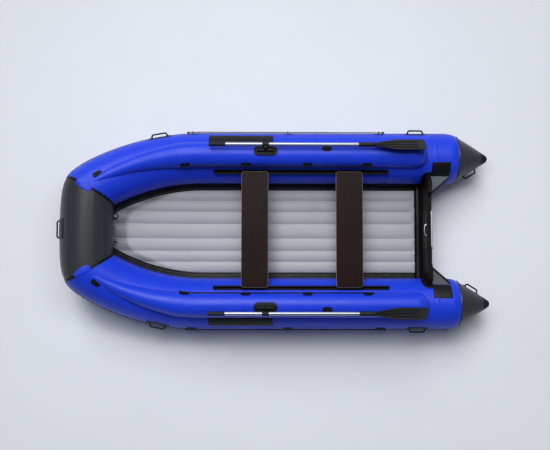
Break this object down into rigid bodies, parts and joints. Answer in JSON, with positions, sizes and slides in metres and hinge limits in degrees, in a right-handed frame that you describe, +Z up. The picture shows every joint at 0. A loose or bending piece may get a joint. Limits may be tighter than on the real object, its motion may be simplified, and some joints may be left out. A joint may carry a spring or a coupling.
{
  "type": "inflatable boat",
  "caption": "Inflatable boat with round side tubes, upper chambers, an inflatable floor, a motor transom, sliding bench seats and oars in tilting rowlocks.",
  "frame": {"origin": "centre of the bounding box at the ground under the keel strips", "axes": "+X to the bow, +Y to port, +Z up"},
  "size_m": [3.506, 1.6572, 0.6337],
  "materials": {
    "blue_pvc": "satin coated fabric",
    "dark_pvc": "satin coated fabric",
    "grey_floor_pvc": "satin coated fabric",
    "black_pvc": "matt coated fabric",
    "knee_pvc": "grained coated fabric",
    "black_rubber": "moulded",
    "plywood": "dark film-faced board",
    "black_plastic": "moulded",
    "aluminium": "anodised tube",
    "rope": "braided"
  },
  "bodies": {
    "hull": {"side_tube_port": "blue_pvc", "side_tube_starboard": "blue_pvc", "bow_tube": "dark_pvc", "stern_cone_port": "dark_pvc", "stern_cone_starboard": "dark_pvc", "top_chamber_port": "blue_pvc", "top_chamber_starboard": "blue_pvc", "air_floor": "grey_floor_pvc", "hull_bottom": "dark_pvc", "keel_strips": "black_rubber", "floor_edge_port": "black_pvc", "floor_edge_starboard": "black_pvc", "transom": "plywood", "motor_pad_inner": "black_plastic", "motor_plate_outer": "aluminium", "drain_valve": "black_plastic", "transom_knee_port": "knee_pvc", "transom_knee_starboard": "knee_pvc", "transom_patch_port": "black_pvc", "transom_patch_starboard": "black_pvc", "seat_rail_port": "black_rubber", "seat_rail_starboard": "black_rubber", "rowlock_base_port": "black_rubber", "rowlock_base_starboard": "black_rubber", "side_handles": "black_rubber", "bow_handle": "black_rubber", "cone_handles": "black_rubber", "rub_strake_port": "black_rubber", "rub_strake_starboard": "black_rubber", "rub_strake_bow": "black_rubber", "oar_rest_port": "black_plastic", "oar_rest_starboard": "black_plastic", "lifeline_eyes_port": "black_plastic", "lifeline_eyes_starboard": "black_plastic", "inner_lifeline_port": "rope", "inner_lifeline_starboard": "rope", "outer_lifeline_port": "rope", "outer_lifeline_starboard": "rope", "side_panel_port": "black_pvc", "side_panel_starboard": "black_pvc", "air_valves": "black_plastic"},
    "seat_front_unit": {"seat_front": "plywood", "seat_front_sliders": "black_plastic"},
    "seat_rear_unit": {"seat_rear": "plywood", "seat_rear_sliders": "black_plastic"},
    "yoke_port": {"rowlock_yoke_port": "black_plastic"},
    "yoke_starboard": {"rowlock_yoke_starboard": "black_plastic"},
    "oar_port": {"oar_blade_port": "black_plastic", "oar_shaft_port": "aluminium", "oar_grip_port": "black_plastic", "oar_clamp_port": "black_plastic"},
    "oar_starboard": {"oar_blade_starboard": "black_plastic", "oar_shaft_starboard": "aluminium", "oar_grip_starboard": "black_plastic", "oar_clamp_starboard": "black_plastic"}
  },
  "joints": [
    {"name": "seat_front_slide", "type": "slide", "parent": "hull", "child": "seat_front_unit", "axis": [1, 0, 0], "range_m": [-0.27, 0.22]},
    {"name": "seat_rear_slide", "type": "slide", "parent": "hull", "child": "seat_rear_unit", "axis": [1, 0, 0], "range_m": [-0.205, 0.26]},
    {"name": "rowlock_tilt_port", "type": "hinge", "parent": "hull", "child": "yoke_port", "pos_m": [0.082, 0.6137, 0.55283], "axis": [1, 0, 0], "range_deg": [0, 20]},
    {"name": "oar_swing_port", "type": "hinge", "parent": "yoke_port", "child": "oar_port", "pos_m": [0.082, 0.6137, 0.55283], "axis": [0, -0.3746, -0.9272], "range_deg": [0, 125]},
    {"name": "rowlock_tilt_starboard", "type": "hinge", "parent": "hull", "child": "yoke_starboard", "pos_m": [0.082, -0.6137, 0.55283], "axis": [-1, 0, 0], "range_deg": [0, 20]},
    {"name": "oar_swing_starboard", "type": "hinge", "parent": "yoke_starboard", "child": "oar_starboard", "pos_m": [0.082, -0.6137, 0.55283], "axis": [0, -0.3746, 0.9272], "range_deg": [0, 125]}
  ]
}
